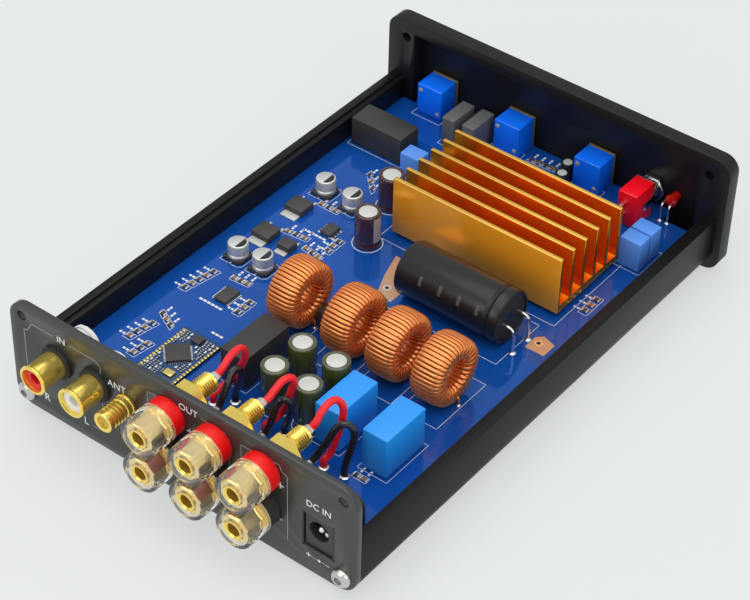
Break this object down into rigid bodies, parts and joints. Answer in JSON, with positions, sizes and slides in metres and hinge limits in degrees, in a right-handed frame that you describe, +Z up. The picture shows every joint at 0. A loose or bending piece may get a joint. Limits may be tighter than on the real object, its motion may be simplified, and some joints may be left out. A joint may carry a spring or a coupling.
{
  "type": "audio amplifier board",
  "caption": "Audio amplifier with its cover off: a board with finned heatsink, ring inductors and capacitors in a metal tray between panels with binding posts, sockets and turning controls.",
  "frame": {"origin": "on the surface it stands on, under the middle of the whole part", "axes": "+Y from the rear panel to the front panel, +Z up, +X to the right seen from the rear"},
  "size_m": [0.125, 0.2064, 0.0411],
  "materials": {
    "black_anodised": "satin black anodised",
    "rear_panel_grey": "dark glossy anodised",
    "front_panel_black": "brushed black anodised",
    "knob_black": "satin black",
    "foot_rubber": "matte",
    "nickel": "polished nickel",
    "board_blue": "gloss solder mask",
    "gold_anodised": "satin gold anodised",
    "black_plastic": "satin",
    "black_sleeve": "satin sleeve",
    "copper_wire": "enamelled copper",
    "ring_core": "matte",
    "olive_sleeve": "gloss sleeve",
    "brown_sleeve": "gloss sleeve",
    "bare_can": "satin",
    "bright_blue": "semi gloss",
    "light_blue": "semi gloss",
    "film_grey": "matte",
    "chip_ceramic": "matte",
    "pot_blue": "semi gloss",
    "switch_red": "semi gloss",
    "lamp_red": "gloss",
    "white_nylon": "satin",
    "insert_red": "semi gloss",
    "gold_plate": "polished gold plate",
    "collar_red": "gloss",
    "clear_cap": "clear polycarbonate",
    "wire_red": "satin",
    "wire_black": "satin"
  },
  "bodies": {
    "amplifier": {"bottom_tray": "black_anodised", "rubber_feet": "foot_rubber", "rear_panel": "rear_panel_grey", "front_panel": "front_panel_black", "screws": "nickel", "circuit_board": "board_blue", "heatsink": "gold_anodised", "amplifier_chips": "black_plastic", "main_capacitor": "black_sleeve", "inductor_windings": "copper_wire", "inductor_cores": "ring_core", "rail_capacitors": "olive_sleeve", "brown_capacitors": "brown_sleeve", "can_capacitors": "bare_can", "blue_film_caps": "bright_blue", "light_film_caps": "light_blue", "grey_film_caps": "film_grey", "relays": "black_plastic", "regulators": "black_plastic", "logic_chips": "black_plastic", "wireless_module": "board_blue", "chip_parts": "chip_ceramic", "pot_bodies": "pot_blue", "pot_plates": "nickel", "panel_nuts": "nickel", "switch_body": "switch_red", "switch_bushing": "nickel", "power_led": "lamp_red", "dc_jack": "black_plastic", "dc_pin": "nickel", "rca_bodies": "white_nylon", "rca_shells": "gold_plate", "rca_rings": "black_plastic", "rca_insert_red": "insert_red", "rca_insert_white": "white_nylon", "antenna_connector": "gold_plate", "terminal_collars_red": "collar_red", "terminal_collars_black": "black_plastic", "terminal_studs": "gold_plate", "red_wires": "wire_red", "black_wires": "wire_black"},
    "control_1": {"pot_shaft_1": "nickel", "knob_1": "knob_black"},
    "control_2": {"pot_shaft_2": "nickel", "knob_2": "knob_black"},
    "control_3": {"pot_shaft_3": "nickel", "knob_3": "knob_black"},
    "toggle": {"switch_lever": "nickel"},
    "post_cap_1": {"terminal_cap_1": "clear_cap", "terminal_sleeve_1": "gold_plate"},
    "post_cap_2": {"terminal_cap_2": "clear_cap", "terminal_sleeve_2": "gold_plate"},
    "post_cap_3": {"terminal_cap_3": "clear_cap", "terminal_sleeve_3": "gold_plate"},
    "post_cap_4": {"terminal_cap_4": "clear_cap", "terminal_sleeve_4": "gold_plate"},
    "post_cap_5": {"terminal_cap_5": "clear_cap", "terminal_sleeve_5": "gold_plate"},
    "post_cap_6": {"terminal_cap_6": "clear_cap", "terminal_sleeve_6": "gold_plate"}
  },
  "joints": [
    {"name": "control_turn_1", "type": "hinge", "parent": "amplifier", "child": "control_1", "pos_m": [-0.0431, 0.0886, 0.0175], "axis": [0, 1, 0], "range_deg": [-150, 150]},
    {"name": "control_turn_2", "type": "hinge", "parent": "amplifier", "child": "control_2", "pos_m": [-0.0134, 0.0886, 0.0175], "axis": [0, 1, 0], "range_deg": [-150, 150]},
    {"name": "control_turn_3", "type": "hinge", "parent": "amplifier", "child": "control_3", "pos_m": [0.0163, 0.0886, 0.0175], "axis": [0, 1, 0], "range_deg": [-150, 150]},
    {"name": "toggle_swing", "type": "hinge", "parent": "amplifier", "child": "toggle", "pos_m": [0.0351, 0.0894, 0.0175], "axis": [1, 0, 0], "range_deg": [0, 26]},
    {"name": "post_cap_turn_1", "type": "hinge", "parent": "amplifier", "child": "post_cap_1", "pos_m": [-0.0025, -0.0986, 0.0299], "axis": [0, -1, 0], "range_deg": [0, 1080]},
    {"name": "post_cap_turn_2", "type": "hinge", "parent": "amplifier", "child": "post_cap_2", "pos_m": [0.0135, -0.0986, 0.0299], "axis": [0, -1, 0], "range_deg": [0, 1080]},
    {"name": "post_cap_turn_3", "type": "hinge", "parent": "amplifier", "child": "post_cap_3", "pos_m": [0.0295, -0.0986, 0.0299], "axis": [0, -1, 0], "range_deg": [0, 1080]},
    {"name": "post_cap_turn_4", "type": "hinge", "parent": "amplifier", "child": "post_cap_4", "pos_m": [-0.0025, -0.0986, 0.0173], "axis": [0, -1, 0], "range_deg": [0, 1080]},
    {"name": "post_cap_turn_5", "type": "hinge", "parent": "amplifier", "child": "post_cap_5", "pos_m": [0.0135, -0.0986, 0.0173], "axis": [0, -1, 0], "range_deg": [0, 1080]},
    {"name": "post_cap_turn_6", "type": "hinge", "parent": "amplifier", "child": "post_cap_6", "pos_m": [0.0295, -0.0986, 0.0173], "axis": [0, -1, 0], "range_deg": [0, 1080]}
  ]
}
